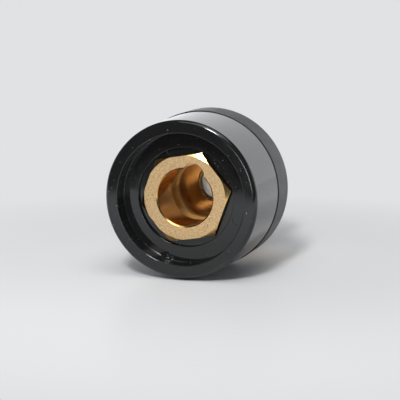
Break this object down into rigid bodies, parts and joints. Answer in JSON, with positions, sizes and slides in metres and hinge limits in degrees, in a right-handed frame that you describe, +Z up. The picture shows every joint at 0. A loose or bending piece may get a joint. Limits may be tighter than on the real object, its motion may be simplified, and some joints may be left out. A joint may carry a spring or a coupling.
{
  "type": "welding cable panel socket",
  "caption": "Round insulated panel socket for a welding cable plug, with a keyed brass bore, a clamp nut and a bolt for the cable lug.",
  "frame": {"origin": "on the bore's axis, in the plane where the front insulator's shoulder meets the panel", "axes": "+Y along the axis towards the cable terminal, so the plug enters from -Y; +Z up; the keyway lies 69.8 degrees from +X towards +Z"},
  "size_m": [0.0372, 0.0538, 0.0372],
  "materials": {
    "brass": "turned",
    "black_gloss": "moulded, glossy",
    "black_matte": "moulded, matte",
    "zinc": "zinc plated",
    "nut_brass": "turned"
  },
  "bodies": {
    "socket": {"socket_contact": "brass", "front_insulator": "black_gloss"},
    "clamp": {"rear_insulator": "black_matte", "clamp_washer": "zinc"},
    "clamp_nut": {"clamp_nut": "nut_brass"},
    "terminal_washers": {"terminal_washer": "zinc", "terminal_spring_washer": "zinc"},
    "terminal_bolt": {"terminal_bolt": "zinc"}
  },
  "joints": [
    {"name": "clamp_slide", "type": "slide", "parent": "socket", "child": "clamp", "axis": [0, 1, 0], "range_m": [0, 0.0104]},
    {"name": "clamp_nut_spin", "type": "hinge", "parent": "clamp", "child": "clamp_nut", "pos_m": [0, 0.0129, 0], "axis": [0, 1, 0], "range_deg": [0, 2496]},
    {"name": "terminal_slide", "type": "slide", "parent": "socket", "child": "terminal_washers", "axis": [0, 1, 0], "range_m": [0, 0.0158]},
    {"name": "terminal_bolt_spin", "type": "hinge", "parent": "terminal_washers", "child": "terminal_bolt", "pos_m": [0, 0.0342, 0], "axis": [0, 1, 0], "range_deg": [0, 3600]}
  ],
  "couplings": [
    {"joint": "clamp_slide", "follows": "clamp_nut_spin", "m_per_rad": 0.00023873},
    {"joint": "terminal_slide", "follows": "terminal_bolt_spin", "m_per_rad": 0.00023873}
  ]
}
